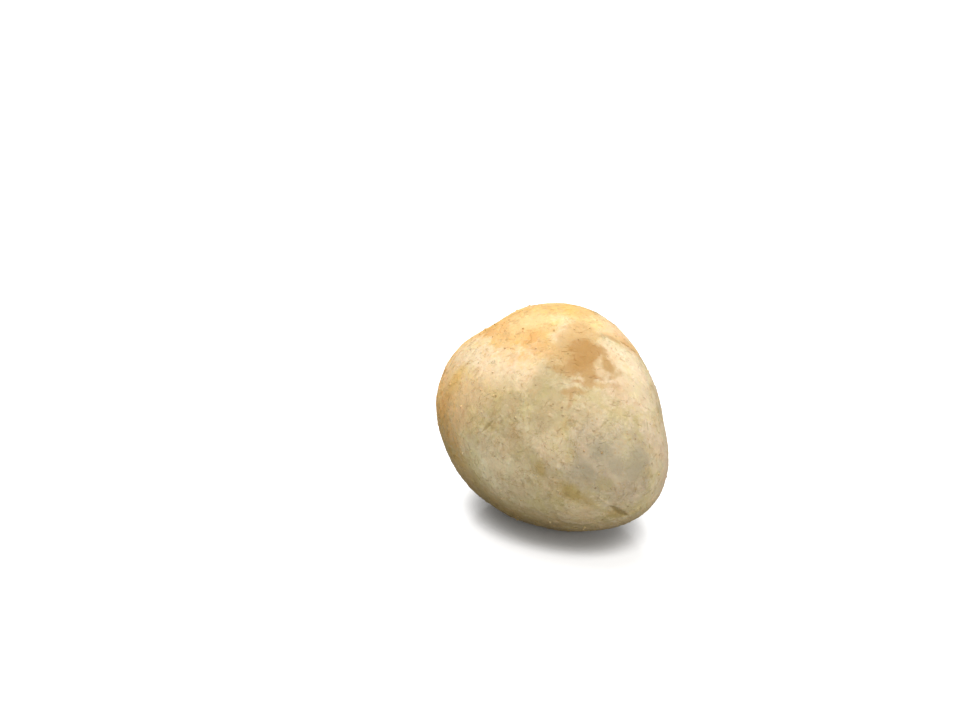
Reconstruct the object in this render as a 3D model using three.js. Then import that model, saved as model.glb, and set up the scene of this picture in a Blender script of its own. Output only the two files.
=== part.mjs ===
// Straw mushroom, picked at the egg stage and lying on its side.
// At this stage the veil still wraps the whole mushroom, so it is one closed, unbroken body:
// a slimmer crown end that points forwards, a fuller base end with the scar where it left the bed,
// and a small flat underneath where its soft flesh has settled.
//
// Millimetres, +Z up. The origin is under the middle of the body, on the surface it lies on.

import * as THREE from "three";
import { mergeVertices } from "three/addons/utils/BufferGeometryUtils.js";

const radians = THREE.MathUtils.degToRad;

// Driving dimensions.
const girthRadius = 16.5; // middle of the body, square to its long axis
const halfLength = 22.0; // centre to either end, along the long axis
const crownTaper = 0.165; // share by which the crown end is slimmer, and the base end fuller
const ovality = { share: 0.02, turn: 53 }; // the girth is a little wider one way, at this angle
const crownBearing = 30; // degrees that the crown points to the right of straight forwards
const crownPitch = -5; // degrees that the crown points above the horizontal
const restDepth = 0.6; // how far the flesh has flattened where it lies
const surfaceSteps = 17; // divisions along each of the starting icosahedron's edges, less one

// Swellings and hollows that the body grew with. "fromCrown" is the angle from the crown's tip and
// "round" the angle round the long axis, from the right side over the top; "spread" is an angle too.
// Degrees, with the height in millimetres. The three broad ones give the egg its rounded corners.
const swellings = [
  { fromCrown: 40, round: 320, height: 1.45, spread: 37 },
  { fromCrown: 96, round: 68, height: 2.05, spread: 37 },
  { fromCrown: 118, round: 158, height: 1.25, spread: 37 },
  { fromCrown: 30, round: 80, height: -0.22, spread: 15 },
  { fromCrown: 58, round: 15, height: -0.2, spread: 14 },
  { fromCrown: 62, round: 190, height: 0.22, spread: 16 },
  { fromCrown: 92, round: 350, height: 0.25, spread: 17 },
  { fromCrown: 110, round: 25, height: -0.35, spread: 16 },
  { fromCrown: 132, round: 215, height: -0.4, spread: 17 },
  { fromCrown: 137, round: 108, height: -0.9, spread: 14 },
  { fromCrown: 150, round: 320, height: 0.3, spread: 15 },
];

// The scar on the base: a sunken disc of bare flesh inside a low collar of veil.
const scar = {
  radius: 4.4, // middle of the scar to the crest of its collar
  collarHeight: 0.55,
  collarWidth: 1.9,
  collarUnevenness: 0.4, // share by which the collar is higher on two sides
  sunk: 1.3, // how deep its middle lies
  sunkWidth: 3.2,
};

const bell = (distance, width) => Math.exp(-((distance / width) ** 2));

// A unit direction in the body's own frame: +Z to the crown, +X to the right, +Y over the top.
function towards(fromCrown, round) {
  const acrossAxis = Math.sin(radians(fromCrown));
  return new THREE.Vector3(
    acrossAxis * Math.cos(radians(round)),
    acrossAxis * Math.sin(radians(round)),
    Math.cos(radians(fromCrown)),
  );
}

// The plain egg: a direction from the centre becomes a point on a tapered, slightly oval body.
function eggPoint(direction) {
  const acrossAxis = Math.hypot(direction.x, direction.y);
  const round = Math.atan2(direction.y, direction.x);
  const oval = ovality.share * Math.cos(2 * (round - radians(ovality.turn)));
  const girth =
    girthRadius * (1 - crownTaper * direction.z) * (1 + acrossAxis ** 2 * oval);
  return new THREE.Vector3(girth * direction.x, girth * direction.y, halfLength * direction.z);
}

// How far the scar lifts or lowers the base there, in millimetres.
function scarRelief(direction, point) {
  if (direction.z > 0) return 0;
  const fromMiddle = Math.hypot(point.x, point.y);
  const round = Math.atan2(direction.y, direction.x);
  const collarHeight = scar.collarHeight * (1 + scar.collarUnevenness * Math.cos(2 * round));
  const collar = collarHeight * bell(fromMiddle - scar.radius, scar.collarWidth);
  return collar - scar.sunk * bell(fromMiddle, scar.sunkWidth);
}

// How far the grown surface stands out from the plain egg, in millimetres.
function relief(direction, point) {
  let height = scarRelief(direction, point);
  for (const { fromCrown, round, height: rise, spread } of swellings) {
    height += rise * bell(direction.angleTo(towards(fromCrown, round)), radians(spread));
  }
  return height;
}

// The whole surface in the body's own frame, as one closed mesh of evenly spread triangles.
function bodySurface() {
  const sphere = new THREE.IcosahedronGeometry(1, surfaceSteps);
  sphere.deleteAttribute("normal");
  sphere.deleteAttribute("uv");
  const surface = mergeVertices(sphere, 1e-5);
  const place = surface.getAttribute("position");
  const direction = new THREE.Vector3();
  for (let i = 0; i < place.count; i += 1) {
    direction.fromBufferAttribute(place, i).normalize();
    const outwards = new THREE.Vector3(
      direction.x / girthRadius,
      direction.y / girthRadius,
      direction.z / halfLength,
    ).normalize();
    const point = eggPoint(direction);
    point.addScaledVector(outwards, relief(direction, point));
    place.setXYZ(i, point.x, point.y, point.z);
  }
  return surface;
}

// Lays the body down: turns its long axis to where the crown points.
function layDown(surface) {
  const crown = new THREE.Vector3(
    Math.sin(radians(crownBearing)) * Math.cos(radians(crownPitch)),
    -Math.cos(radians(crownBearing)) * Math.cos(radians(crownPitch)),
    Math.sin(radians(crownPitch)),
  );
  const right = new THREE.Vector3(0, 0, 1).cross(crown).normalize();
  const overTop = crown.clone().cross(right);
  surface.applyMatrix4(new THREE.Matrix4().makeBasis(right, overTop, crown));
}

// Presses the underside flat and puts the origin under the middle of the body.
function settle(surface) {
  surface.computeBoundingBox();
  const floor = surface.boundingBox.min.z + restDepth;
  const place = surface.getAttribute("position");
  for (let i = 0; i < place.count; i += 1) {
    place.setZ(i, Math.max(place.getZ(i) - floor, 0));
  }
  surface.computeBoundingBox();
  const { min, max } = surface.boundingBox;
  surface.translate(-(min.x + max.x) / 2, -(min.y + max.y) / 2, 0);
}

function buildMushroom() {
  const surface = bodySurface();
  layDown(surface);
  settle(surface);
  surface.computeVertexNormals();
  const skin = new THREE.MeshStandardMaterial({
    color: new THREE.Color(0.76, 0.66, 0.47),
    roughness: 0.7,
    metalness: 0,
  });
  const mushroom = new THREE.Mesh(surface, skin);
  mushroom.name = "mushroom_body";
  return mushroom;
}

const strawMushroom = new THREE.Group();
strawMushroom.add(buildMushroom());

export default strawMushroom;
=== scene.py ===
import math

import bmesh
import bpy
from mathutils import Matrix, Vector
from mathutils.bvhtree import BVHTree


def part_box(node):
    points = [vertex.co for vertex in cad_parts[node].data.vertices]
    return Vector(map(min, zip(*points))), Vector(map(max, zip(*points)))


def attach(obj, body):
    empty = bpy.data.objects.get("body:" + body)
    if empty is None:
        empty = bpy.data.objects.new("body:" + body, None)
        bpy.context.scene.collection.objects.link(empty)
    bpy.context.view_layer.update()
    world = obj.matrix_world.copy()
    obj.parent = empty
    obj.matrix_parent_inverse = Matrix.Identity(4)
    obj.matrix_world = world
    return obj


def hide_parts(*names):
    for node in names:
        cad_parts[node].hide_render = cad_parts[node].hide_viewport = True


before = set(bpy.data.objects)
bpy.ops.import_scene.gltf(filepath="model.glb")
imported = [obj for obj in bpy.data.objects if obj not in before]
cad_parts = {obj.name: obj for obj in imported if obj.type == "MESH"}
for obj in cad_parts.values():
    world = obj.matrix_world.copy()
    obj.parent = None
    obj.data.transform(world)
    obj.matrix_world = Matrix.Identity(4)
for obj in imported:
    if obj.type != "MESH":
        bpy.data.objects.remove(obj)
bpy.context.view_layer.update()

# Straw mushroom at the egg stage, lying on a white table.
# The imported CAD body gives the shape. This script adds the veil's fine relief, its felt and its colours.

mm = 0.001
white = (1, 1, 1, 1)
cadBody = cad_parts["mushroom_body"]
bodyLow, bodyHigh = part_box("mushroom_body")
bodyMiddle = (bodyLow + bodyHigh) / 2
scene = bpy.context.scene
scene.view_settings.view_transform = "Standard"

# The crown end points to the front, a little right and down; the base with its scar is behind.
lies = {"crownBearing": 30, "crownPitch": -5}  # degrees


# Places on the body

def towards(across, up):  # degrees to the right of the front, degrees above level
    across = math.radians(across)
    up = math.radians(up)
    return Vector((math.sin(across) * math.cos(up), -math.cos(across) * math.cos(up), math.sin(up)))


crownWards = towards(lies["crownBearing"], lies["crownPitch"])
scarSide = Vector((0, 0, 1)).cross(crownWards).normalized()
scarTop = crownWards.cross(scarSide)
bodyFaces = BVHTree.FromPolygons(
    [corner.co for corner in cadBody.data.vertices],
    [face.vertices for face in cadBody.data.polygons],
)
scarMiddle = bodyFaces.ray_cast(bodyMiddle, -crownWards)[0]


def onBody(across, up, turn):
    # the point in that direction, a level line there turned anticlockwise as seen from outside,
    # and the way out of the body
    middle, outwards, _, _ = bodyFaces.ray_cast(bodyMiddle, towards(across, up))
    level = Vector((0, 0, 1)).cross(outwards).normalized()
    turn = math.radians(turn)
    return middle, level * math.cos(turn) + outwards.cross(level) * math.sin(turn), outwards


# Node helpers, for materials and Geometry Nodes alike

def feed(tree, node, inputs):  # each socket gets a link or a plain value
    for socket, value in inputs.items():
        if isinstance(value, bpy.types.NodeSocket):
            tree.links.new(value, node.inputs[socket])
        else:
            node.inputs[socket].default_value = value
    return node


def addNode(tree, kind, inputs=None, **settings):
    node = tree.nodes.new(kind)
    for name, value in settings.items():
        setattr(node, name, value)
    return feed(tree, node, inputs or {})


def calc(tree, operation, *values):
    node = addNode(tree, "ShaderNodeMath", dict(enumerate(values)), operation=operation)
    return node.outputs[0]


def product(tree, first, *others):
    for value in others:
        first = calc(tree, "MULTIPLY", first, value)
    return first


def vectorCalc(tree, operation, *values):
    node = addNode(tree, "ShaderNodeVectorMath", dict(enumerate(values)), operation=operation)
    return node.outputs["Value" if operation in ("DOT_PRODUCT", "LENGTH") else "Vector"]


def times(tree, vector, factor):
    inputs = {0: vector, "Scale": factor}
    return addNode(tree, "ShaderNodeVectorMath", inputs, operation="SCALE").outputs["Vector"]


def combined(tree, across=0.0, along=0.0, up=0.0):
    return addNode(tree, "ShaderNodeCombineXYZ", {0: across, 1: along, 2: up}).outputs[0]


def evenly(tree, value):
    return combined(tree, value, value, value)


def levelOf(tree, position):  # height above the table
    return addNode(tree, "ShaderNodeSeparateXYZ", {0: position}).outputs["Z"]


def ramp(tree, value, low, high, toLow=0.0, toHigh=1.0):
    inputs = {"Value": value, "From Min": low, "From Max": high, "To Min": toLow, "To Max": toHigh}
    node = addNode(tree, "ShaderNodeMapRange", inputs, interpolation_type="SMOOTHSTEP")
    return node.outputs["Result"]


def noise(tree, place, size, detail=2.0, roughness=0.5, out="Fac"):
    inputs = {"Vector": place, "Scale": 1 / size, "Detail": detail, "Roughness": roughness}
    return addNode(tree, "ShaderNodeTexNoise", inputs).outputs[out]


def fadedNoise(tree, place, size, detail, starts, full, least=0.0, most=1.0, roughness=0.5):
    return ramp(tree, noise(tree, place, size, detail, roughness), starts, full, least, most)


def swing(tree, place, size, detail):
    # a vector of up to a half each way, that changes from place to place
    return vectorCalc(tree, "SUBTRACT", noise(tree, place, size, detail, out="Color"), (0.5, 0.5, 0.5))


def wander(tree, place, size, reach, detail=2.0):
    # place, shifted by up to half of reach each way
    return vectorCalc(tree, "ADD", place, times(tree, swing(tree, place, size, detail), reach))


def winding(tree, place, size, detail):
    # 0 along winding lines, and more away from them
    return calc(tree, "ABSOLUTE", calc(tree, "MULTIPLY_ADD", noise(tree, place, size, detail), 2, -1))


def closeTo(tree, value, middle, width):
    # 1 where value is middle, falling to 0 at width away
    away = calc(tree, "ABSOLUTE", calc(tree, "SUBTRACT", value, middle))
    return ramp(tree, away, 0.0, width, 1.0, 0.0)


def mixed(tree, factor, first, second):  # numbers
    return addNode(tree, "ShaderNodeMix", {0: factor, 2: first, 3: second}).outputs[0]


def mixColour(tree, factor, first, second, mode="MIX"):
    inputs = {0: factor}
    for socket, value in ((6, first), (7, second)):
        inputs[socket] = (*value, 1) if isinstance(value, tuple) else value
    return addNode(tree, "ShaderNodeMix", inputs, data_type="RGBA", blend_type=mode).outputs[2]


def newGroup(name, kind, takes, gives):
    tree = bpy.data.node_groups.new(name, kind)
    for socket, form in takes.items():
        tree.interface.new_socket(socket, in_out="INPUT", socket_type="NodeSocket" + form)
    for socket, form in gives.items():
        tree.interface.new_socket(socket, in_out="OUTPUT", socket_type="NodeSocket" + form)
    return tree, tree.nodes.new("NodeGroupInput").outputs, tree.nodes.new("NodeGroupOutput")


def geometryGroup(name, settings):
    # takes a mesh and the named settings, and gives a mesh
    takes = {setting: "Int" if setting == "Seed" else "Float" for setting in settings}
    return newGroup(name, "GeometryNodeTree", {"Geometry": "Geometry", **takes}, {"Geometry": "Geometry"})


def useGroup(tree, group, inputs):
    node = tree.nodes.new("GeometryNodeGroup" if tree.type == "GEOMETRY" else "ShaderNodeGroup")
    node.node_tree = group
    return feed(tree, node, inputs).outputs


# The veil's scar and its scratches are both cut into the shape and coloured, so each is a group
# that is built once as Geometry Nodes and once as a shader.

scar = {
    "squash": 1.12,  # how much wider than tall
    "fadeFrom": 8 * mm,  # how far along the body it counts
    "fadeTo": 13 * mm,
    "uneven": dict(size=2.5 * mm, reach=1.2 * mm),
    "rim": 3.7 * mm,  # where the veil is torn round the bare flesh
    "rimWander": 3.6 * mm,
    "rimNoise": dict(size=0.7, detail=3),
    "tear": 0.15 * mm,  # half the width of the torn edge
    "lip": 0.8 * mm,
    "puckers": 1.6,  # how closely the folds that run out from it follow each other
    "foldDrift": 90,  # how fast they stray, for each metre outwards
    "foldNoise": dict(size=1.0, detail=1),
    "foldWidth": 0.3,
    "foldsFrom": 1 * mm,  # how far outside the rim they are at their full depth
    "reachNoise": dict(size=0.8, detail=1),
    "shortest": 0.5 * mm,
    "longer": 9 * mm,  # how much further than that the longest reaches
    "foldFade": 5 * mm,
    "hole": (1.1 * mm, -0.5 * mm, 0),
    "holeFloor": 0.1 * mm,
    "holeRadius": 0.95 * mm,
    "lidSide": (0.8, 0.6, 0),  # a flap of skin stands up on this side of the hole
    "lidRise": 1 * mm,
    "lidAway": 1.25 * mm,
    "lidWidth": 0.6 * mm,
    "fleshNoise": dict(size=0.9 * mm, detail=3),
    "relief": {
        "Flesh depth": 0.5 * mm,
        "Flesh lump": 0.3 * mm,
        "Rim height": 0.3 * mm,
        "Hole depth": 1.1 * mm,
        "Lid height": 0.45 * mm,
        "Pucker depth": 0.5 * mm,
    },
}


def scarGroup(kind):
    gives = ("Flesh", "Rim", "Pucker", "Hole", "Lid")
    tree, takes, out = newGroup("scarPlace", kind, {"Position": "Vector"}, dict.fromkeys(gives, "Float"))
    away = vectorCalc(tree, "SUBTRACT", takes["Position"], scarMiddle)
    inwards = vectorCalc(tree, "DOT_PRODUCT", away, crownWards)
    here = ramp(tree, inwards, scar["fadeFrom"], scar["fadeTo"], 1.0, 0.0)
    side = vectorCalc(tree, "DOT_PRODUCT", away, scarSide)
    top = product(tree, vectorCalc(tree, "DOT_PRODUCT", away, scarTop), scar["squash"])
    flat = wander(tree, combined(tree, side, top), **scar["uneven"])
    radius = vectorCalc(tree, "LENGTH", flat)

    # spoke is nearly the same all the way out along a fold
    spoke = times(tree, vectorCalc(tree, "NORMALIZE", flat), scar["puckers"])
    drift = combined(tree, up=product(tree, radius, scar["foldDrift"]))
    spoke = vectorCalc(tree, "ADD", spoke, drift)
    ragged = calc(tree, "SUBTRACT", noise(tree, spoke, **scar["rimNoise"]), 0.5)
    torn = calc(tree, "MULTIPLY_ADD", ragged, -scar["rimWander"], radius)
    bare = ramp(tree, torn, scar["rim"] - scar["tear"], scar["rim"] + scar["tear"], 1, 0)
    rim = closeTo(tree, torn, scar["rim"] + scar["lip"] / 2, scar["lip"])

    fold = ramp(tree, winding(tree, spoke, **scar["foldNoise"]), 0, scar["foldWidth"], 1, 0)
    reach = noise(tree, spoke, **scar["reachNoise"])
    reach = calc(tree, "MULTIPLY_ADD", reach, scar["longer"], scar["shortest"])
    fading = ramp(tree, calc(tree, "SUBTRACT", radius, reach), 0, scar["foldFade"], 1, 0)
    outside = ramp(tree, torn, scar["rim"], scar["rim"] + scar["foldsFrom"])
    fold = product(tree, fold, fading, outside)

    fromHole = vectorCalc(tree, "SUBTRACT", flat, scar["hole"])
    holeRadius = vectorCalc(tree, "LENGTH", fromHole)
    pit = ramp(tree, holeRadius, scar["holeFloor"], scar["holeRadius"], 1, 0)
    lidSide = vectorCalc(tree, "DOT_PRODUCT", fromHole, scar["lidSide"])
    lid = closeTo(tree, holeRadius, scar["lidAway"], scar["lidWidth"])
    lid = product(tree, lid, ramp(tree, lidSide, 0, scar["lidRise"]))

    for name, mask in zip(gives, (bare, rim, fold, pit, lid)):
        feed(tree, out, {name: product(tree, mask, here)})
    return tree


# across, up and turn are degrees; length, width and depth are millimetres, and a ridge has a depth
# below nothing; tone names a colour other than peat for a groove and milk for a ridge
scratches = [
    dict(across=28.2, up=-19.2, turn=-44, length=6.0, width=0.8, depth=0.18),
    dict(across=-42.5, up=13, turn=54, length=3.6, width=0.46, depth=0.16, tone="ochre"),
    dict(across=-39, up=8, turn=55, length=2.0, width=0.3, depth=-0.09),
    dict(across=84, up=49, turn=-62, length=3.2, width=0.36, depth=0.2, tone="tan"),
    dict(across=88, up=42, turn=-48, length=2.8, width=0.32, depth=0.18, tone="rust"),
    dict(across=79, up=44, turn=-70, length=2.0, width=0.28, depth=0.12, tone="tan"),
    dict(across=25, up=19, turn=35, length=2.2, width=0.35, depth=0.07),
    dict(across=-55, up=-5, turn=-60, length=2.8, width=0.24, depth=0.08),
    dict(across=40, up=-12, turn=22, length=2.6, width=0.26, depth=0.07),
    dict(across=38, up=20, turn=-25, length=2.2, width=0.2, depth=0.08),
    dict(across=21.5, up=-13.4, turn=-42, length=4.5, width=0.3, depth=-0.1),
    dict(across=48, up=13, turn=60, length=2.4, width=0.2, depth=0.08),
    dict(across=60, up=16, turn=100, length=8.0, width=0.5, depth=-0.08),
    dict(across=56, up=4, turn=96, length=7.0, width=0.35, depth=-0.07),
    dict(across=64, up=8, turn=92, length=6.0, width=0.3, depth=-0.07),
    dict(across=-18, up=4, turn=20, length=1.8, width=0.2, depth=0.06),
    dict(across=-50, up=30, turn=40, length=2.2, width=0.2, depth=0.06),
    dict(across=120, up=25, turn=20, length=3.4, width=0.4, depth=0.14),
    dict(across=165, up=-8, turn=70, length=2.8, width=0.35, depth=0.12),
    dict(across=-110, up=-20, turn=-25, length=4.0, width=0.35, depth=0.12),
]
strokeShape = {
    "flattened": 0.8,  # share of the height off the stroke's plane that doesn't count
    "taperFrom": 0.2,  # where it starts to narrow, as a share of its half length
    "tip": 0.02,
    "edgeFrom": 0.2,  # where its soft edge starts, as a share of its width
}


def strokeGroup(kind):
    takes = dict.fromkeys(("Position", "Middle", "Along", "Outwards"), "Vector")
    takes.update(dict.fromkeys(("Half", "Width"), "Float"))
    tree, takes, out = newGroup("stroke", kind, takes, {"Mask": "Float"})
    away = vectorCalc(tree, "SUBTRACT", takes["Position"], takes["Middle"])
    height = vectorCalc(tree, "DOT_PRODUCT", away, takes["Outwards"])
    lowered = times(tree, takes["Outwards"], product(tree, height, strokeShape["flattened"]))
    away = vectorCalc(tree, "SUBTRACT", away, lowered)
    along = vectorCalc(tree, "DOT_PRODUCT", away, takes["Along"])
    across = vectorCalc(tree, "SUBTRACT", away, times(tree, takes["Along"], along))
    across = vectorCalc(tree, "LENGTH", across)
    reached = calc(tree, "DIVIDE", calc(tree, "ABSOLUTE", along), takes["Half"])
    taper = ramp(tree, reached, strokeShape["taperFrom"], 1.0, 1.0, strokeShape["tip"])
    across = calc(tree, "DIVIDE", across, product(tree, takes["Width"], taper))
    feed(tree, out, {"Mask": ramp(tree, across, strokeShape["edgeFrom"], 1.0, 1.0, 0.0)})
    return tree


def strokeMask(tree, group, position, stroke):
    middle, along, outwards = onBody(stroke["across"], stroke["up"], stroke["turn"])
    inputs = {"Position": position, "Middle": middle, "Along": along, "Outwards": outwards}
    inputs["Half"] = stroke["length"] / 2 * mm
    inputs["Width"] = stroke["width"] * mm
    return useGroup(tree, group, inputs)["Mask"]


# The veil: the CAD body, made fine and given its relief

veil = {
    "fineness": 2,  # subdivision levels
    "flatUpTo": 0.1 * mm,  # no relief this close to the table, so that it lies flat
    "fullFrom": 2.5 * mm,
    "feltBend": dict(size=2 * mm, reach=2 * mm),
    "feltRidge": 0.25,  # how wide its ridges are
    "relief": {
        "Lump height": 0.5 * mm,
        "Lump size": 8 * mm,
        "Dimple height": 0.16 * mm,
        "Dimple size": 2.6 * mm,
        "Grain height": 0.05 * mm,
        "Grain size": 0.8 * mm,
        "Felt height": 0.05 * mm,
        "Felt size": 1.5 * mm,
    },
}


def scarHeights(tree, position, takes):
    at = useGroup(tree, scarGroup("GeometryNodeTree"), {"Position": position})
    lump = product(tree, noise(tree, position, **scar["fleshNoise"]), takes["Flesh lump"])
    flesh = calc(tree, "SUBTRACT", lump, takes["Flesh depth"])
    return [
        product(tree, at["Flesh"], flesh),
        product(tree, at["Rim"], takes["Rim height"]),
        product(tree, at["Lid"], takes["Lid height"]),
        product(tree, at["Hole"], takes["Hole depth"], -1),
        product(tree, at["Pucker"], takes["Pucker depth"], -1),
    ]


def reliefTree(settings):
    tree, takes, out = geometryGroup("veilRelief", settings)
    position = addNode(tree, "GeometryNodeInputPosition").outputs[0]
    outwards = addNode(tree, "GeometryNodeInputNormal").outputs[0]
    heights = []
    for kind, detail in (("Lump", 2), ("Dimple", 3), ("Grain", 3)):
        place = vectorCalc(tree, "DIVIDE", position, evenly(tree, takes[kind + " size"]))
        rise = calc(tree, "SUBTRACT", noise(tree, place, 1.0, detail), 0.5)
        heights.append(product(tree, rise, takes[kind + " height"]))

    # felt: low winding ridges
    place = wander(tree, position, **veil["feltBend"])
    place = vectorCalc(tree, "DIVIDE", place, evenly(tree, takes["Felt size"]))
    ridge = ramp(tree, winding(tree, place, 1.0, 2), 0.0, veil["feltRidge"], 1.0, 0.0)
    heights.append(product(tree, ridge, takes["Felt height"]))

    stroke = strokeGroup("GeometryNodeTree")
    for scratch in scratches:
        mask = strokeMask(tree, stroke, position, scratch)
        heights.append(product(tree, mask, -scratch["depth"] * mm))
    heights += scarHeights(tree, position, takes)

    total = heights[0]
    for height in heights[1:]:
        total = calc(tree, "ADD", total, height)
    lifted = ramp(tree, levelOf(tree, position), veil["flatUpTo"], veil["fullFrom"])
    offset = times(tree, outwards, product(tree, total, lifted))
    inputs = {"Geometry": takes["Geometry"], "Offset": offset}
    shaped = addNode(tree, "GeometryNodeSetPosition", inputs).outputs[0]
    feed(tree, out, {"Geometry": shaped})
    return tree


def addTree(piece, tree, settings):
    modifier = piece.modifiers.new(tree.name, "NODES")
    modifier.node_group = tree
    for socket in tree.interface.items_tree:
        if socket.in_out == "INPUT" and socket.name in settings:
            modifier[socket.identifier] = settings[socket.name]


def settled(piece, name):
    # the piece as its modifiers show it, as a plain mesh without them
    evaluated = piece.evaluated_get(bpy.context.evaluated_depsgraph_get())
    mesh = bpy.data.meshes.new_from_object(evaluated)
    mesh.name = name
    bpy.data.objects.remove(piece)
    made = bpy.data.objects.new(name, mesh)
    scene.collection.objects.link(made)
    return made


def keepPiece(piece, material):
    piece.data.materials.clear()
    piece.data.materials.append(material)
    for face in piece.data.polygons:
        face.use_smooth = True
    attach(piece, "root")
    print(piece.name, len(piece.data.vertices), "points", len(piece.data.polygons), "faces")


def makeVeil(material):
    draft = bpy.data.objects.new("draft", cadBody.data.copy())
    scene.collection.objects.link(draft)
    shell = bmesh.new()
    shell.from_mesh(draft.data)
    bmesh.ops.remove_doubles(shell, verts=shell.verts, dist=0.001 * mm)
    shell.to_mesh(draft.data)
    shell.free()
    finer = draft.modifiers.new("finer", "SUBSURF")
    finer.levels = veil["fineness"]
    finer.render_levels = veil["fineness"]
    settings = {**veil["relief"], **scar["relief"]}
    addTree(draft, reliefTree(settings), settings)
    piece = settled(draft, "veil")
    keepPiece(piece, material)
    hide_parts("mushroom_body")
    return piece


# Veil colours, as they look in plain light, save for the painted light and shade noted below

colours = {
    "cream": (0.67, 0.525, 0.275),
    "pale": (0.80, 0.65, 0.40),
    "khaki": (0.53, 0.42, 0.22),
    "lilac": (0.55, 0.455, 0.30),
    "slate": (0.44, 0.37, 0.24),
    "golden": (0.80, 0.46, 0.13),
    "orange": (0.74, 0.40, 0.12),
    "rust": (0.45, 0.22, 0.06),
    "butter": (0.87, 0.61, 0.28),
    # orange skin made brighter than it is: it carries painted light for the left side
    "apricotAndPaintedLight": (0.95, 0.56, 0.18),
    "milk": (0.88, 0.71, 0.46),
    "blush": (0.76, 0.60, 0.40),
    "amber": (0.60, 0.32, 0.07),
    "tan": (0.49, 0.29, 0.105),
    "lightTan": (0.58, 0.36, 0.14),
    "ochre": (0.44, 0.31, 0.11),
    "olive": (0.48, 0.39, 0.19),
    "brown": (0.24, 0.12, 0.035),
    "flesh": (0.74, 0.62, 0.40),
    "bruise": (0.46, 0.25, 0.074),
    "moss": (0.48, 0.345, 0.11),
    "peach": (0.90, 0.63, 0.35),
    "peat": (0.27, 0.185, 0.06),
    "straw": (0.80, 0.68, 0.41),
    "honey": (0.80, 0.51, 0.16),
    "chaff": (0.86, 0.74, 0.46),
    # painted shade: the hole in the scar is painted nearly black
    "pit": (0.05, 0.025, 0.01),
}

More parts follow.
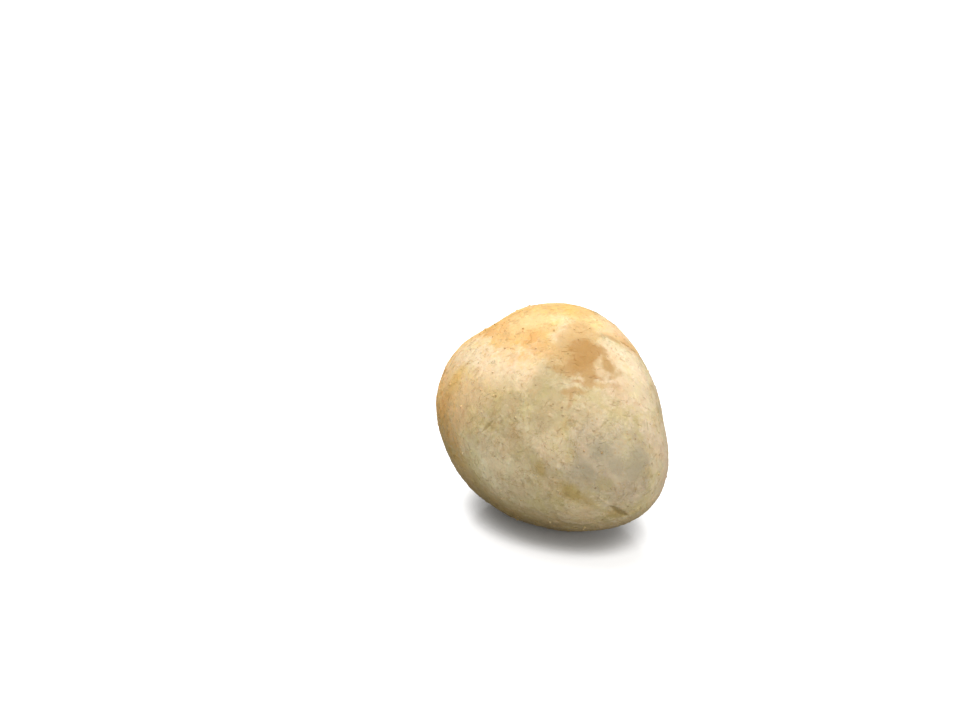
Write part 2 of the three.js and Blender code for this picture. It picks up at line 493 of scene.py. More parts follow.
# Patches of colour, painted in this order. size is half the width in millimetres, stretch how many
# times longer than wide, turn the long way's angle above level, and soft how much of it is edge.
# Zones lie under the felt's streaks, and marks on top of them.
zones = [
    # On the left side the apricot patches and the golden one below them are brighter than the skin's own
    # orange: painted light from the left.
    dict(colour="apricotAndPaintedLight", across=-98, up=22, size=7.5, stretch=2.2, turn=85, soft=0.5, amount=0.9),
    dict(colour="apricotAndPaintedLight", across=-80, up=-2, size=6.2, stretch=1.6, turn=75, soft=0.6, amount=0.9),
    dict(colour="golden", across=-88, up=-13, size=6.0, stretch=1.6, turn=70, soft=0.7, amount=0.75),
    dict(colour="peach", across=-96, up=36, size=3.4, stretch=1.6, turn=70, soft=0.6, amount=0.85),
    dict(colour="butter", across=-70, up=40, size=6.0, stretch=1.5, turn=30, soft=0.6, amount=0.9),
    dict(colour="milk", across=-72, up=54, size=5.0, stretch=1.7, turn=20, soft=0.5, amount=0.95),
    dict(colour="peach", across=-60, up=12, size=4.4, stretch=1.9, turn=75, soft=0.8, amount=0.6),
    dict(colour="milk", across=-36, up=55, size=3.2, stretch=1.6, turn=0, soft=0.5, amount=0.8),
    dict(colour="golden", across=-128, up=66, size=6.0, stretch=2.4, turn=15, soft=0.7, amount=0.8),
    dict(colour="golden", across=-100, up=78, size=3.0, stretch=2.4, turn=60, soft=0.7, amount=0.7),
    dict(colour="orange", across=-106, up=61, size=2.2, stretch=1.9, turn=45, soft=0.5, amount=0.95),
    dict(colour="orange", across=-42, up=74, size=0.9, stretch=2.4, turn=75, soft=0.6, amount=0.8),
    dict(colour="orange", across=-15, up=68, size=1.6, stretch=2.0, turn=0, soft=0.7, amount=0.5),
    dict(colour="butter", across=-150, up=82, size=3.6, stretch=2.0, turn=60, soft=0.5, amount=0.85),
    dict(colour="milk", across=58, up=82, size=1.5, stretch=2.5, turn=80, soft=0.6, amount=0.7),
    dict(colour="golden", across=160, up=72, size=3.4, stretch=2.8, turn=0, soft=0.6, amount=0.8),
    dict(colour="butter", across=84, up=70, size=2.4, stretch=2.0, turn=0, soft=0.5, amount=0.85),
    dict(colour="peach", across=101, up=54, size=2.6, stretch=1.8, turn=120, soft=0.6, amount=0.8),
    dict(colour="blush", across=36, up=34, size=5.0, stretch=1.5, turn=0, soft=0.6, amount=0.8),
    dict(colour="milk", across=63, up=44, size=2.9, stretch=2.2, turn=115, soft=0.4, amount=0.95),
    dict(colour="pale", across=54, up=24, size=1.8, stretch=2.6, turn=100, soft=0.6, amount=0.8),
    dict(colour="pale", across=28, up=22, size=1.6, stretch=1.7, turn=60, soft=0.5, amount=0.6),
    dict(colour="lightTan", across=40, up=28, size=1.8, stretch=1.5, turn=30, soft=0.8, amount=0.3),
    dict(colour="blush", across=56, up=-2, size=3.6, stretch=3.2, turn=95, soft=0.8, amount=0.9),
    dict(colour="milk", across=84, up=30, size=3.0, stretch=2.6, turn=110, soft=0.8, amount=0.7),
    dict(colour="slate", across=24, up=1, size=6.0, stretch=1.3, turn=-35, soft=0.6, amount=0.65),
    dict(colour="lilac", across=24, up=2, size=7.4, stretch=1.3, turn=-35, soft=0.6, amount=0.7),
    dict(colour="khaki", across=-28, up=24, size=4.4, stretch=2.0, turn=0, soft=0.7, amount=0.6),
    dict(colour="pale", across=-6, up=12, size=2.8, stretch=1.7, turn=-50, soft=0.5, amount=0.8),
    dict(colour="khaki", across=-14, up=2, size=2.4, stretch=1.8, turn=-40, soft=0.6, amount=0.6),
    dict(colour="khaki", across=-4, up=36, size=3.0, stretch=2.0, turn=90, soft=0.5, amount=0.9),
    dict(colour="khaki", across=20, up=30, size=2.6, stretch=1.6, turn=20, soft=0.7, amount=0.6),
    dict(colour="olive", across=-4, up=46, size=1.6, stretch=1.6, turn=80, soft=0.6, amount=0.25),
    dict(colour="moss", across=-62, up=-27, size=4.2, stretch=2.6, turn=-38, soft=0.8, amount=0.75),
    dict(colour="honey", across=-66, up=-9, size=2.8, stretch=2.4, turn=70, soft=0.8, amount=0.45),
    dict(colour="straw", across=-34, up=-15, size=5.0, stretch=1.8, turn=-35, soft=0.7, amount=0.95),
    dict(colour="chaff", across=-30, up=-16, size=3.2, stretch=2.2, turn=-25, soft=0.7, amount=0.9),
    dict(colour="khaki", across=-12, up=-20, size=3.2, stretch=1.8, turn=-5, soft=0.7, amount=0.6),
    dict(colour="pale", across=17, up=-21, size=2.2, stretch=2.4, turn=5, soft=0.6, amount=0.35),
    dict(colour="pale", across=45, up=-9, size=2.0, stretch=2.6, turn=75, soft=0.6, amount=0.6),
    # painted shade: this ochre patch darkens the underside on the left, where shade falls
    dict(colour="ochre", across=-42, up=-50, size=5.5, stretch=2.0, turn=-20, soft=0.8, amount=0.7),
    dict(colour="orange", across=-155, up=6, size=9.0, stretch=1.2, turn=0, soft=0.7, amount=0.8),
    dict(colour="butter", across=180, up=44, size=5.5, stretch=1.5, turn=10, soft=0.6, amount=0.75),
    dict(colour="lilac", across=102, up=2, size=6.5, stretch=1.4, turn=25, soft=0.7, amount=0.75),
    dict(colour="khaki", across=-105, up=-30, size=6.0, stretch=1.6, turn=20, soft=0.7, amount=0.6),
]
marks = [
    dict(colour="orange", across=90, up=45, size=1.4, stretch=2.6, turn=110, soft=0.7, amount=0.7),
    dict(colour="tan", across=78, up=57, size=0.5, stretch=5.0, turn=125, soft=0.7, amount=0.7),
    dict(colour="lightTan", across=50, up=72, size=3.0, stretch=1.3, turn=60, soft=0.35, amount=0.65),
    dict(colour="lightTan", across=22, up=63, size=2.8, stretch=1.3, turn=30, soft=0.5, amount=0.75),
    dict(colour="lightTan", across=36, up=54, size=3.9, stretch=1.2, turn=20, soft=0.35, amount=0.45),
    dict(colour="bruise", across=39, up=60, size=2.3, stretch=1.2, turn=-20, soft=0.3, amount=0.9),
    dict(colour="bruise", across=26, up=53, size=1.9, stretch=1.2, turn=30, soft=0.4, amount=0.9),
    dict(colour="tan", across=27, up=44, size=1.05, stretch=1.9, turn=75, soft=0.4, amount=0.85),
    dict(colour="tan", across=48, up=47, size=1.1, stretch=1.6, turn=60, soft=0.35, amount=0.9),
    dict(colour="tan", across=12, up=50, size=1.15, stretch=1.7, turn=-10, soft=0.4, amount=0.75),
    dict(colour="tan", across=16, up=54, size=0.6, stretch=2.6, turn=30, soft=0.4, amount=0.6),
    dict(colour="tan", across=54, up=56, size=0.9, stretch=1.6, turn=100, soft=0.35, amount=0.7),
    dict(colour="tan", across=13, up=37, size=0.5, stretch=4.5, turn=5, soft=0.6, amount=0.75),
    dict(colour="rust", across=9, up=32, size=0.55, stretch=2.2, turn=80, soft=0.6, amount=0.5),
    dict(colour="lightTan", across=34, up=37, size=0.6, stretch=4.0, turn=-15, soft=0.7, amount=0.6),
    dict(colour="olive", across=28, up=20, size=0.7, stretch=3.6, turn=40, soft=0.7, amount=0.5),
    dict(colour="slate", across=20, up=8, size=1.3, stretch=1.4, turn=20, soft=0.6, amount=0.8),
    dict(colour="slate", across=14, up=0, size=1.5, stretch=1.5, turn=-50, soft=0.6, amount=0.85),
    dict(colour="slate", across=25, up=2, size=1.6, stretch=1.3, turn=-40, soft=0.7, amount=0.7),
    dict(colour="slate", across=35, up=1, size=2.0, stretch=1.6, turn=60, soft=0.6, amount=0.8),
    dict(colour="olive", across=20, up=-5.5, size=1.0, stretch=1.5, turn=10, soft=0.6, amount=0.6),
    dict(colour="blush", across=15, up=4, size=0.5, stretch=5.0, turn=-58, soft=0.9, amount=0.4),
    dict(colour="blush", across=24, up=-3, size=0.4, stretch=5.5, turn=-65, soft=0.9, amount=0.35),
    dict(colour="moss", across=7, up=-11, size=1.45, stretch=1.2, turn=-10, soft=0.54, amount=0.8),
    dict(colour="peat", across=10, up=-10, size=0.3, stretch=2.0, turn=60, soft=0.7, amount=0.45),
    dict(colour="peat", across=5, up=-13, size=0.28, stretch=2.4, turn=-20, soft=0.7, amount=0.45),
    dict(colour="moss", across=14, up=-14, size=1.3, stretch=1.5, turn=-35, soft=0.8, amount=0.5),
    dict(colour="moss", across=-6, up=-2, size=0.65, stretch=2.0, turn=110, soft=0.7, amount=0.55),
    dict(colour="moss", across=27, up=-21, size=0.8, stretch=2.8, turn=-30, soft=0.7, amount=0.6),
    dict(colour="honey", across=-84, up=26, size=1.3, stretch=1.7, turn=80, soft=0.6, amount=0.8),
    dict(colour="amber", across=-83, up=13, size=1.2, stretch=1.8, turn=80, soft=0.8, amount=0.4),
    dict(colour="rust", across=17, up=42, size=0.35, stretch=3.0, turn=15, soft=0.7, amount=0.6),
    dict(colour="rust", across=33, up=42, size=0.35, stretch=2.6, turn=-30, soft=0.7, amount=0.5),
    dict(colour="tan", across=45, up=40, size=0.5, stretch=3.0, turn=10, soft=0.7, amount=0.6),
    dict(colour="rust", across=-128, up=-14, size=2.6, stretch=1.9, turn=-40, soft=0.5, amount=0.5),
    dict(colour="rust", across=-170, up=18, size=1.8, stretch=1.8, turn=50, soft=0.5, amount=0.45),
    dict(colour="lightTan", across=138, up=24, size=3.0, stretch=1.6, turn=-30, soft=0.4, amount=0.7),
    dict(colour="tan", across=142, up=22, size=1.8, stretch=1.6, turn=-20, soft=0.4, amount=0.7),
    dict(colour="ochre", across=165, up=-15, size=1.8, stretch=1.8, turn=30, soft=0.5, amount=0.6),
]
stains = {
    "edge": dict(size=1.4 * mm, detail=6, roughness=0.68),
    "ragged": 1.2,  # how far an edge strays, as a share of the stain's size
    "crisp": 0.05,  # how much of that a crisp stain has
    "soft": 1.3,  # and how much more a soft one has
}


def stainGroup():
    takes = {"Position": "Vector", "Ragged": "Float", "Middle": "Vector", "Along": "Vector"}
    takes.update(dict.fromkeys(("Size", "Stretch", "Soft", "Amount"), "Float"))
    tree, takes, out = newGroup("stain", "ShaderNodeTree", takes, {"Mask": "Float"})
    away = vectorCalc(tree, "SUBTRACT", takes["Position"], takes["Middle"])
    along = vectorCalc(tree, "DOT_PRODUCT", away, takes["Along"])
    shorter = calc(tree, "SUBTRACT", 1.0, calc(tree, "DIVIDE", 1.0, takes["Stretch"]))
    squeezed = times(tree, takes["Along"], product(tree, along, shorter))
    reach = vectorCalc(tree, "LENGTH", vectorCalc(tree, "SUBTRACT", away, squeezed))
    reach = calc(tree, "DIVIDE", reach, takes["Size"])
    uneven = calc(tree, "MULTIPLY_ADD", takes["Soft"], stains["soft"], stains["crisp"])
    reach = calc(tree, "MULTIPLY_ADD", takes["Ragged"], uneven, reach)
    inner = calc(tree, "SUBTRACT", 1.0, takes["Soft"])
    outer = calc(tree, "ADD", 1.0, takes["Soft"])
    shape = ramp(tree, reach, inner, outer, 1.0, 0.0)
    feed(tree, out, {"Mask": product(tree, shape, takes["Amount"])})
    return tree


def paint(tree, stain, patches, colour, position, ragged):
    for patch in patches:
        middle, along, _ = onBody(patch["across"], patch["up"], patch["turn"])
        inputs = {"Position": position, "Ragged": ragged, "Middle": middle, "Along": along}
        inputs["Size"] = patch["size"] * mm
        for name in ("Stretch", "Soft", "Amount"):
            inputs[name] = patch[name.lower()]
        mask = useGroup(tree, stain, inputs)["Mask"]
        colour = mixColour(tree, mask, colour, colours[patch["colour"]])
    return colour


# The veil's pattern. A layer comes in between two values of its noise, starts and full, and goes
# from least to most. bends wind the place where a layer is read, and moved shifts it, so that
# layers don't follow each other. tints are multiplied with the colour.

bends = {
    "broad": dict(size=5 * mm, reach=3 * mm, detail=3),
    "curls": dict(size=2.4 * mm, reach=3 * mm, detail=3),
    "streaks": dict(size=3 * mm, reach=3 * mm, detail=2),
    "threads": dict(size=1.2 * mm, reach=1.8 * mm, detail=3),
    "specks": dict(size=0.4 * mm, reach=0.35 * mm, detail=2),
}
layers = {
    "cloud": dict(size=5 * mm, detail=5, roughness=0.6, starts=0.44, full=0.56),
    "drift": dict(size=2.6 * mm, detail=5, roughness=0.6, starts=0.5, full=0.58, most=0.75),
    "wisp": dict(size=2.2 * mm, detail=6, roughness=0.66, starts=0.53, full=0.64),
    "fleck": dict(size=1.6 * mm, detail=4, roughness=0.62, starts=0.55, full=0.64),
    "matted": dict(size=4 * mm, detail=3, starts=0.45, full=0.58, least=0.15),
    "paleTufts": dict(size=2.4 * mm, detail=3, starts=0.45, full=0.65, most=0.3),
    "darkTufts": dict(size=3.5 * mm, detail=3, starts=0.48, full=0.57, least=0.05, most=0.55),
    "rustySpecks": dict(size=3 * mm, detail=3, starts=0.52, full=0.64, most=0.5),
    "flesh": dict(size=0.8 * mm, detail=3, starts=0.4, full=0.65),
    "roughness": dict(size=2 * mm, detail=4, starts=0.3, full=0.7, least=0.5, most=0.72),
}
moved = {
    "lean": (0.5, 0.2, 0.7),
    "fleck": (0.3, 0.1, 0.2),
    "darkThreads": (0.1, 0.3, 0.2),
    "rustySpecks": (0.4, 0.7, 0.1),
}
tints = {
    "pinker": (1.02, 0.98, 0.98),
    "strawy": (0.99, 1.0, 0.9),
    "fleck": (1.09, 1.11, 1.16),
    "darkStreak": (0.79, 0.75, 0.68),
    "paleStreak": (1.09, 1.11, 1.17),
}


def layerMask(tree, place, name):
    return fadedNoise(tree, place, **layers[name])


def readMoved(tree, place, name):
    return vectorCalc(tree, "ADD", place, moved[name])


def cloudyGround(tree, broad):
    # cream and khaki, with crisp pale drifts
    colour = mixColour(tree, layerMask(tree, broad, "cloud"), colours["cream"], colours["khaki"])
    return mixColour(tree, layerMask(tree, broad, "drift"), colour, colours["pale"])


leaning = {
    "noise": dict(size=4 * mm, detail=4, roughness=0.55),
    "pinker": (0.5, 0.6),
    "strawy": (0.48, 0.38),
}


def leaningTones(tree, colour, broad):
    # the tone leans to pink in some places and to straw in others
    lean = noise(tree, readMoved(tree, broad, "lean"), **leaning["noise"])
    for name in ("pinker", "strawy"):
        colour = mixColour(tree, ramp(tree, lean, *leaning[name]), colour, tints[name], "MULTIPLY")
    return colour


sandy = {"from": -12 * mm, "most": 0.75, "to": 8 * mm, "least": 0.25}  # more towards the base


def sandyWisps(tree, colour, position):
    # tan wisps, and small pale flecks between them
    crownwards = vectorCalc(tree, "DOT_PRODUCT", position, crownWards)
    amount = ramp(tree, crownwards, sandy["from"], sandy["to"], sandy["most"], sandy["least"])
    curls = wander(tree, position, **bends["curls"])
    wisp = product(tree, layerMask(tree, curls, "wisp"), amount)
    colour = mixColour(tree, wisp, colour, colours["lightTan"])
    fleck = layerMask(tree, readMoved(tree, curls, "fleck"), "fleck")
    return mixColour(tree, fleck, colour, tints["fleck"], "MULTIPLY")


feltThins = {"from": 21 * mm, "to": 29 * mm}  # there is less felt above these heights


def thinning(tree, position, below, above):
    return ramp(tree, levelOf(tree, position), feltThins["from"], feltThins["to"], below, above)


streaks = {
    "squeezed": 0.76,  # share of the distance along a streak that doesn't count
    "detail": 3,
    "roughness": 0.55,
    "patchSize": 2.6 * mm,
    "ways": [
        dict(along=Vector((0.6, 0.3, 0.74)), size=0.75 * mm),
        dict(along=Vector((-0.55, -0.5, 0.67)), size=0.65 * mm, starts=0.46, full=0.5),
        dict(along=Vector((0.85, -0.5, -0.15)), size=0.8 * mm, starts=0.53, full=0.57),
    ],
    "darkStreak": (0.34, 0.46, 0.65, 0.0),  # two values of the noise, and how strong it is at each
    "paleStreak": (0.53, 0.68, 0.0, 1.0),
    "highUp": 0.45,  # share of them that is left where the felt is thin
}


def wisps(tree, position, way):
    # long soft streaks that lie one way; 0.5 is plain, more is a pale one and less a dark one
    reach = vectorCalc(tree, "DOT_PRODUCT", position, way["along"])
    shortened = times(tree, way["along"], product(tree, reach, streaks["squeezed"]))
    place = vectorCalc(tree, "SUBTRACT", position, shortened)
    return noise(tree, place, way["size"], streaks["detail"], streaks["roughness"])


def mattedFelt(tree, colour, position, broad):
    # streaks that change their way from patch to patch
    curved = wander(tree, position, **bends["streaks"])
    patches = noise(tree, position, streaks["patchSize"])
    first, *others = streaks["ways"]
    value = wisps(tree, curved, first)
    for way in others:
        here = ramp(tree, patches, way["starts"], way["full"])
        value = mixed(tree, here, value, wisps(tree, curved, way))
    thin = thinning(tree, position, 1.0, streaks["highUp"])
    matted = product(tree, layerMask(tree, broad, "matted"), thin)
    for name in ("darkStreak", "paleStreak"):
        streak = product(tree, ramp(tree, value, *streaks[name]), matted)
        colour = mixColour(tree, streak, colour, tints[name], "MULTIPLY")
    return colour


threads = {
    "pale": dict(size=1.4 * mm, detail=4, width=0.05),
    "dark": dict(size=2 * mm, detail=5, width=0.035),
}


def threadMask(tree, place, size, detail, width):
    return ramp(tree, winding(tree, place, size, detail), 0.0, width, 1.0, 0.0)


def threaded(tree, colour, position):
    # single winding threads, pale ones and thinner dark ones
    place = wander(tree, position, **bends["threads"])
    pale = threadMask(tree, place, **threads["pale"])
    tufts = product(tree, pale, layerMask(tree, position, "paleTufts"))
    colour = mixColour(tree, tufts, colour, colours["milk"])
    place = readMoved(tree, place, "darkThreads")
    dark = threadMask(tree, place, **threads["dark"])
    tufts = product(tree, dark, layerMask(tree, place, "darkTufts"))
    return mixColour(tree, tufts, colour, colours["ochre"]), pale, dark


# Painted shade and damp: the skin is darkened towards the table.
dampAndShade = {"upTo": 11 * mm, "uneven": 0.8 * mm, "amount": 0.9}


# darker towards the table where it lies: partly damp, and partly painted shade
def dampAndShadeBelow(tree, colour, position, ragged):
    # darker and damp where it lies
    level = calc(tree, "MULTIPLY_ADD", ragged, dampAndShade["uneven"], levelOf(tree, position))
    amount = ramp(tree, level, 0, dampAndShade["upTo"], dampAndShade["amount"], 0)
    return mixColour(tree, amount, colour, colours["peat"])


# spacing is from speck to speck, share how many of the places have one, and largest the radius of
# the largest one as a share of spacing
darkSpecks = {"spacing": 1.3 * mm, "share": 0.38, "largest": 0.17}
rustySpecks = {"spacing": 0.7 * mm, "share": 0.5, "largest": 0.28}
speckLook = {"smallest": 0.05, "edge": (0.5, 1.1), "fading": 0.01, "dark": 0.6}


def specks(tree, position, spacing, share, largest):
    uneven = wander(tree, position, **bends["specks"])
    cells = addNode(tree, "ShaderNodeTexVoronoi", {"Vector": uneven, "Scale": 1 / spacing}).outputs
    chosen = addNode(tree, "ShaderNodeSeparateColor", {0: cells["Color"]}).outputs[0]
    size = ramp(tree, chosen, 1 - share, 1.0, speckLook["smallest"], largest)
    reach = calc(tree, "DIVIDE", cells["Distance"], size)
    speck = ramp(tree, reach, *speckLook["edge"], 1, 0)
    return product(tree, speck, ramp(tree, chosen, 1 - share - speckLook["fading"], 1 - share))


def speckled(tree, colour, position, broad):
    # small dark specks all over, and rusty ones in groups
    speck = product(tree, specks(tree, position, **darkSpecks), speckLook["dark"])
    colour = mixColour(tree, speck, colour, colours["brown"])
    speck = specks(tree, readMoved(tree, position, "rustySpecks"), **rustySpecks)
    speck = product(tree, speck, layerMask(tree, broad, "rustySpecks"))
    return mixColour(tree, speck, colour, colours["rust"])


scratchTone = {"forEachMm": 4, "most": 0.75}  # how strong a scratch's colour is for its depth


def scratched(tree, colour, position):
    stroke = strokeGroup("ShaderNodeTree")
    for scratch in scratches:
        plain = "peat" if scratch["depth"] > 0 else "milk"
        amount = min(abs(scratch["depth"]) * scratchTone["forEachMm"], scratchTone["most"])
        mask = product(tree, strokeMask(tree, stroke, position, scratch), amount)
        colour = mixColour(tree, mask, colour, colours[scratch.get("tone", plain)])
    return colour


scarTone = {"pucker": 0.45, "rim": 0.5}


def scarred(tree, colour, position):
    at = useGroup(tree, scarGroup("ShaderNodeTree"), {"Position": position})
    pucker = product(tree, at["Pucker"], scarTone["pucker"])
    colour = mixColour(tree, pucker, colour, colours["rust"])
    flesh = layerMask(tree, position, "flesh")
    flesh = mixColour(tree, flesh, colours["flesh"], colours["lightTan"])
    colour = mixColour(tree, at["Flesh"], colour, flesh)
    rim = product(tree, at["Rim"], scarTone["rim"])
    colour = mixColour(tree, rim, colour, colours["rust"])
    # painted shade: the hole is painted nearly black
    return mixColour(tree, at["Hole"], colour, colours["pit"])


bump = {
    "grain": dict(size=0.3 * mm, detail=4, roughness=0.6),
    "grainHeight": 0.8,  # shares of the bump's distance
    "paleThread": 0.4,
    "darkThread": -0.5,
    "shader": {"Distance": 0.06 * mm, "Strength": 0.6},
}


def veilGroup():
    gives = {"Colour": "Color", "Height": "Float", "Roughness": "Float"}
    tree, takes, out = newGroup("veilSkin", "ShaderNodeTree", {"Position": "Vector"}, gives)
    position = takes["Position"]
    stain = stainGroup()
    broad = wander(tree, position, **bends["broad"])
    ragged = noise(tree, position, **stains["edge"])
    ragged = calc(tree, "MULTIPLY_ADD", ragged, 2 * stains["ragged"], -stains["ragged"])

    colour = cloudyGround(tree, broad)
    colour = paint(tree, stain, zones, colour, broad, ragged)
    colour = leaningTones(tree, colour, broad)
    colour = sandyWisps(tree, colour, position)
    colour = mattedFelt(tree, colour, position, broad)
    colour, pale, dark = threaded(tree, colour, position)
    colour = paint(tree, stain, marks, colour, broad, ragged)
    # painted shade and damp, darker towards the table
    colour = dampAndShadeBelow(tree, colour, position, ragged)
    colour = speckled(tree, colour, position, broad)
    colour = scratched(tree, colour, position)
    colour = scarred(tree, colour, position)

    height = product(tree, noise(tree, position, **bump["grain"]), bump["grainHeight"])
    height = calc(tree, "MULTIPLY_ADD", pale, bump["paleThread"], height)
    height = calc(tree, "MULTIPLY_ADD", dark, bump["darkThread"], height)
    rough = layerMask(tree, position, "roughness")
    feed(tree, out, {"Colour": colour, "Height": height, "Roughness": rough})
    return tree


veilShader = {
    "Specular IOR Level": 0.2,
    "Subsurface Weight": 0.2,
    "Subsurface Radius": (1.0, 0.55, 0.25),
    "Subsurface Scale": 1.5 * mm,
    "Sheen Weight": 0.04,
    "Sheen Roughness": 0.5,
}


def newMaterial(name):
    material = bpy.data.materials.new(name)
    material.use_nodes = True
    return material, material.node_tree, material.node_tree.nodes["Principled BSDF"]


def skinMaterial(name, skin):
    # a material with the skin's pattern ready to be linked
    material, tree, shader = newMaterial(name)
    position = addNode(tree, "ShaderNodeTexCoord").outputs["Object"]
    return material, tree, shader, position, useGroup(tree, skin, {"Position": position})


def veilMaterial(skin):
    material, tree, shader, _, look = skinMaterial("veilSkin", skin)
    facing = addNode(tree, "ShaderNodeBump", {"Height": look["Height"], **bump["shader"]}).outputs[0]
    feed(tree, shader, {"Base Color": look["Colour"], "Roughness": look["Roughness"], "Normal": facing})
    feed(tree, shader, veilShader)
    return material


# Felt: fine loose fibres that lie on the veil

paleFibres = {
    "Density": 0.8e6,  # fibres for each square metre
    "Length": 1.5 * mm,
    "Thickness": 0.03 * mm,
    "Curl": 0.6 * mm,
    "Lift": 0.03 * mm,
    "Seed": 3,
}
darkFibres = {
    "Density": 0.13e6,
    "Length": 1.2 * mm,
    "Thickness": 0.045 * mm,
    "Curl": 0.5 * mm,
    "Lift": 0.025 * mm,
    "Seed": 11,
}
fibres = {
    "clearOf": 0.9 * mm,  # none is rooted lower than this
    # times Density: sparse in some places and dense in others, and fewer where the felt thins
    "patches": dict(size=4 * mm, detail=3, starts=0.44, full=0.58, least=0.3, most=1.5),
    "lowDown": 1.1,
    "highUp": 0.5,
    "flowSize": 5 * mm,  # neighbours lie roughly the same way, which changes slowly
    "flow": 14,  # radians that it would turn over the noise's whole range
    "stray": 1.4,  # radians either way
    "shortest": 0.4,  # shares of Length
    "longest": 1.3,
    "points": 7,
    "sides": 3,
    "curlSize": 0.9 * mm,
    "sunk": 0.25,  # how far its ends go into the skin, as a share of Lift
    "ends": 0.3,  # how thick its ends are, as a share of Thickness
}


def randomValue(tree, low, high, seed):
    inputs = {2: low, 3: high, "Seed": seed}
    return addNode(tree, "FunctionNodeRandomValue", inputs, data_type="FLOAT").outputs[1]


def placed(tree, points, piece, rotation, size):
    inputs = {"Points": points, "Instance": piece, "Rotation": rotation, "Scale": evenly(tree, size)}
    laid = addNode(tree, "GeometryNodeInstanceOnPoints", inputs)
    return addNode(tree, "GeometryNodeRealizeInstances", {0: laid.outputs[0]}).outputs[0]


def coated(tree, out, geometry, material):
    made = addNode(tree, "GeometryNodeSetMaterial", {"Geometry": geometry, "Material": material})
    feed(tree, out, {"Geometry": made.outputs[0]})


def fibrePoints(tree, skin, position, takes):
    # points on the skin, each with a tone and a way to lie
    level = levelOf(tree, position)
    inputs = {0: level, 1: fibres["clearOf"]}
    clear = addNode(tree, "FunctionNodeCompare", inputs, operation="GREATER_THAN").outputs[0]
    patchy = fadedNoise(tree, position, **fibres["patches"])
    thin = thinning(tree, position, fibres["lowDown"], fibres["highUp"])
    density = product(tree, takes["Density"], patchy, thin)
    inputs = {"Mesh": skin, "Density": density, "Seed": takes["Seed"], "Selection": clear}
    points = addNode(tree, "GeometryNodeDistributePointsOnFaces", inputs).outputs
    toned = addNode(tree, "GeometryNodeStoreNamedAttribute", data_type="FLOAT", domain="POINT")
    inputs = {"Geometry": points["Points"], "Name": "tone", "Value": randomValue(tree, 0, 1, 5)}
    feed(tree, toned, inputs)
    flow = product(tree, noise(tree, position, fibres["flowSize"]), fibres["flow"])
    angle = calc(tree, "ADD", flow, randomValue(tree, -fibres["stray"], fibres["stray"], 1))
    spin = addNode(tree, "FunctionNodeAxisAngleToRotation", {"Axis": (0, 0, 1), "Angle": angle})
    inputs = {"Rotation": points["Rotation"], "Rotate By": spin.outputs[0]}
    turned = addNode(tree, "FunctionNodeRotateRotation", inputs, rotation_space="LOCAL")
    return toned.outputs[0], turned.outputs[0]


def followSkin(tree, skin, position, takes, arch):
    # each fibre curls, then follows the skin, and its ends go into it
    curl = swing(tree, position, fibres["curlSize"], 1)
    curled = vectorCalc(tree, "ADD", position, times(tree, curl, takes["Curl"]))
    inputs = {0: skin, "Sample Position": curled}
    nearest = addNode(tree, "GeometryNodeProximity", inputs, target_element="FACES").outputs["Position"]
    outwards = addNode(tree, "GeometryNodeInputNormal").outputs[0]
    facing = addNode(tree, "GeometryNodeSampleNearestSurface", data_type="FLOAT_VECTOR")
    feed(tree, facing, {"Mesh": skin, "Value": outwards, "Sample Position": curled})
    lift = product(tree, calc(tree, "SUBTRACT", arch, fibres["sunk"]), takes["Lift"])
    return vectorCalc(tree, "ADD", nearest, times(tree, facing.outputs[0], lift))


def feltTree(material):
    tree, takes, out = geometryGroup("feltFibres", paleFibres)
    skin = takes["Geometry"]
    position = addNode(tree, "GeometryNodeInputPosition").outputs[0]
    points, turned = fibrePoints(tree, skin, position, takes)
    long = randomValue(tree, fibres["shortest"], fibres["longest"], 2)
    long = product(tree, takes["Length"], long)
    line = addNode(tree, "GeometryNodeCurvePrimitiveLine", {"Start": (-0.5, 0, 0), "End": (0.5, 0, 0)})
    inputs = {"Curve": line.outputs[0], "Count": fibres["points"]}
    stops = addNode(tree, "GeometryNodeResampleCurve", inputs).outputs[0]
    loose = placed(tree, points, stops, turned, long)

    along = addNode(tree, "GeometryNodeSplineParameter").outputs["Factor"]
    arch = calc(tree, "SINE", product(tree, along, math.pi))
    inputs = {"Geometry": loose, "Position": followSkin(tree, skin, position, takes, arch)}
    shaped = addNode(tree, "GeometryNodeSetPosition", inputs).outputs[0]
    thick = calc(tree, "MULTIPLY_ADD", arch, 1 - fibres["ends"], fibres["ends"])
    thick = product(tree, thick, takes["Thickness"])
    inputs = {"Resolution": fibres["sides"], "Radius": 1.0}
    ring = addNode(tree, "GeometryNodeCurvePrimitiveCircle", inputs).outputs[0]
    inputs = {"Curve": shaped, "Profile Curve": ring, "Scale": thick, "Fill Caps": True}
    tubes = addNode(tree, "GeometryNodeCurveToMesh", inputs).outputs[0]
    whole = addNode(tree, "GeometryNodeRealizeInstances", {0: tubes}).outputs[0]
    coated(tree, out, whole, material)
    return tree


# Crumbs: bits of veil and bedding stuck to the skin, most of them along the top of the base end

crumbs = {
    "Density": 0.05e6,  # crumbs for each square metre
    "Ridge density": 1.6e6,
    "Size": 0.13 * mm,
    "Seed": 21,
}
crumbRidge = dict(across=-112, up=58, turn=35, length=18, width=2.6)
crumbShape = {
    "patches": dict(size=1.6 * mm, detail=3, starts=0.4, full=0.65),
    "clearOf": (1 * mm, 2 * mm),  # none below the first height, and all of them above the second
    "fineness": 2,
    "smallest": 0.35,  # shares of Size
    "largest": 1.5,
    "lumpSize": 0.25 * mm,
    "lumps": 2.4,
}


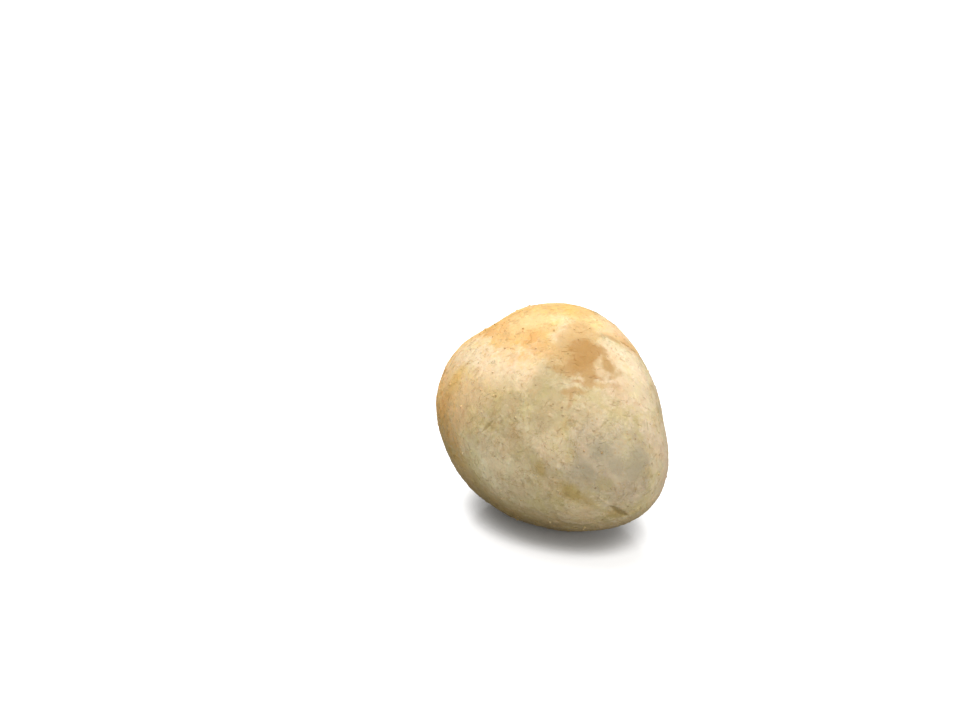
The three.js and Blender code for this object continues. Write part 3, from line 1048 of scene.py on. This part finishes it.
def crumbTree(material):
    tree, takes, out = geometryGroup("crumbs", crumbs)
    position = addNode(tree, "GeometryNodeInputPosition").outputs[0]
    ridge = strokeMask(tree, strokeGroup("GeometryNodeTree"), position, crumbRidge)
    ridge = product(tree, ridge, fadedNoise(tree, position, **crumbShape["patches"]))
    density = calc(tree, "MULTIPLY_ADD", ridge, takes["Ridge density"], takes["Density"])
    clear = ramp(tree, levelOf(tree, position), *crumbShape["clearOf"])
    inputs = {"Mesh": takes["Geometry"], "Density": product(tree, density, clear)}
    inputs["Seed"] = takes["Seed"]
    points = addNode(tree, "GeometryNodeDistributePointsOnFaces", inputs).outputs
    inputs = {"Radius": 1.0, "Subdivisions": crumbShape["fineness"]}
    crumb = addNode(tree, "GeometryNodeMeshIcoSphere", inputs).outputs["Mesh"]
    size = randomValue(tree, crumbShape["smallest"], crumbShape["largest"], 4)
    size = product(tree, takes["Size"], size)
    loose = placed(tree, points["Points"], crumb, points["Rotation"], size)
    lumps = swing(tree, position, crumbShape["lumpSize"], 1)
    lumps = times(tree, lumps, product(tree, takes["Size"], crumbShape["lumps"]))
    shaped = addNode(tree, "GeometryNodeSetPosition", {"Geometry": loose, "Offset": lumps})
    coated(tree, out, shaped.outputs[0], material)
    return tree


feltTones = {
    "pale": dict(tint=(1.12, 1.14, 1.19), most=0.9),
    "dark": dict(tint=(0.70, 0.61, 0.48), most=0.85),
}
crumbTones = {
    "noise": dict(size=1.2 * mm, detail=1),
    "milk": (0.5, 0.54, 0.0, 0.2),  # two values of the noise, and how strong it is at each
    "tan": (0.46, 0.42, 0.0, 0.6),
}
feltShader = {"Roughness": 0.6, "Specular IOR Level": 0.1}
crumbShader = {"Roughness": 0.7, "Specular IOR Level": 0.1}


def feltMaterial(name, skin, tint, most):
    # the skin's colour, and more of the tint on some fibres than on others
    material, tree, shader, _, look = skinMaterial(name, skin)
    tone = addNode(tree, "ShaderNodeAttribute", attribute_name="tone").outputs["Fac"]
    amount = product(tree, tone, most)
    colour = mixColour(tree, amount, look["Colour"], tint, "MULTIPLY")
    feed(tree, shader, {"Base Color": colour, **feltShader})
    return material


def crumbMaterial(skin):
    material, tree, shader, position, look = skinMaterial("crumb", skin)
    kind = noise(tree, position, **crumbTones["noise"])
    colour = look["Colour"]
    for name in ("milk", "tan"):
        colour = mixColour(tree, ramp(tree, kind, *crumbTones[name]), colour, colours[name])
    feed(tree, shader, {"Base Color": colour, **crumbShader})
    return material


def scatter(name, body, material, tree, settings):
    draft = bpy.data.objects.new("draft", body.data.copy())
    scene.collection.objects.link(draft)
    addTree(draft, tree, settings)
    keepPiece(settled(draft, name), material)


# White floor and white surroundings, camera and lamps

surroundings = {"ambient": 0.47}  # how strongly they light the mushroom
floorLook = {
    "size": 6,  # metres
    "grey": 0.75,
    "bounce": 0.25,  # how pale it is for the light that it throws back at the mushroom
    "roughness": 0.15,
    "ior": 1.45,
    "lift": 0.65,  # glow that makes it white, away from the mushroom
    "reach": 5 * mm,
    "open": (0.3, 0.95),  # how clear the floor is where that glow starts, and where it is full
    "samples": 6,
}
view = {
    "pitch": 23,  # degrees that the camera looks down
    "lens": 100,
    "nearest": 10 * mm,
    "distance": 434.5 * mm,
    "sideways": 11.55 * mm,  # how far the mushroom lies to the right of the picture's middle
    "below": 9.28 * mm,  # and how far below it
}
lamps = {
    "overhead": {"at": (-0.05, 0.2, 0.76), "size": 0.6, "power": 6.0},
    "front": {"at": (0.3, -0.8, 0.2), "size": 0.6, "power": 4.0},
}


def whiteRays(tree):
    # 1 for what the camera sees straight, mirrored or through glass
    path = addNode(tree, "ShaderNodeLightPath").outputs
    direct = calc(tree, "MAXIMUM", path["Is Camera Ray"], path["Is Glossy Ray"])
    return calc(tree, "MAXIMUM", direct, path["Is Transmission Ray"])


def makeWorld():
    world = bpy.data.worlds.new("studio")
    scene.world = world
    world.use_nodes = True
    tree = world.node_tree
    ambient = surroundings["ambient"]
    strength = calc(tree, "MULTIPLY_ADD", whiteRays(tree), 1 - ambient, ambient)
    feed(tree, tree.nodes["Background"], {"Color": white, "Strength": strength})


def makeFloor():
    bpy.ops.mesh.primitive_plane_add(size=floorLook["size"])
    floor = bpy.context.object
    floor.name = "floor"
    material, tree, shader = newMaterial("whiteTable")
    seen = addNode(tree, "ShaderNodeLightPath").outputs["Is Camera Ray"]
    grey = mixColour(tree, seen, (floorLook["bounce"],) * 3, (floorLook["grey"],) * 3)
    reach = {"Distance": floorLook["reach"]}
    clear = addNode(tree, "ShaderNodeAmbientOcclusion", reach, samples=floorLook["samples"])
    lift = ramp(tree, clear.outputs["AO"], *floorLook["open"], 0.0, floorLook["lift"])
    glow = product(tree, seen, lift)
    feed(tree, shader, {"Base Color": grey, "Emission Color": white, "Emission Strength": glow})
    feed(tree, shader, {"Roughness": floorLook["roughness"], "IOR": floorLook["ior"]})
    floor.data.materials.append(material)


def makeCamera():
    data = bpy.data.cameras.new("camera")
    data.lens = view["lens"]
    data.clip_start = view["nearest"]
    camera = bpy.data.objects.new("camera", data)
    scene.collection.objects.link(camera)
    pitch = math.radians(view["pitch"])
    forwards = Vector((0, math.cos(pitch), -math.sin(pitch)))
    rightwards = Vector((1, 0, 0))
    upwards = rightwards.cross(forwards)
    camera.location = bodyMiddle - forwards * view["distance"]
    camera.location += upwards * view["below"] - rightwards * view["sideways"]
    camera.rotation_euler = (math.radians(90) - pitch, 0, 0)
    scene.camera = camera


def makeLamps():
    for name, lamp in lamps.items():
        data = bpy.data.lights.new(name, "AREA")
        data.size = lamp["size"]
        data.energy = lamp["power"]
        light = bpy.data.objects.new(name, data)
        scene.collection.objects.link(light)
        light.location = lamp["at"]
        light.rotation_euler = (light.location - bodyMiddle).to_track_quat("Z", "Y").to_euler()


makeCamera()
makeLamps()
makeWorld()
makeFloor()
print("stage ready")

skin = veilGroup()
body = makeVeil(veilMaterial(skin))
print("veil ready")
paleFelt = feltMaterial("paleFelt", skin, **feltTones["pale"])
darkFelt = feltMaterial("darkFelt", skin, **feltTones["dark"])
crumb = crumbMaterial(skin)
scatter("pale_felt", body, paleFelt, feltTree(paleFelt), paleFibres)
scatter("dark_felt", body, darkFelt, feltTree(darkFelt), darkFibres)
scatter("crumbs", body, crumb, crumbTree(crumb), crumbs)
print("felt and crumbs ready")
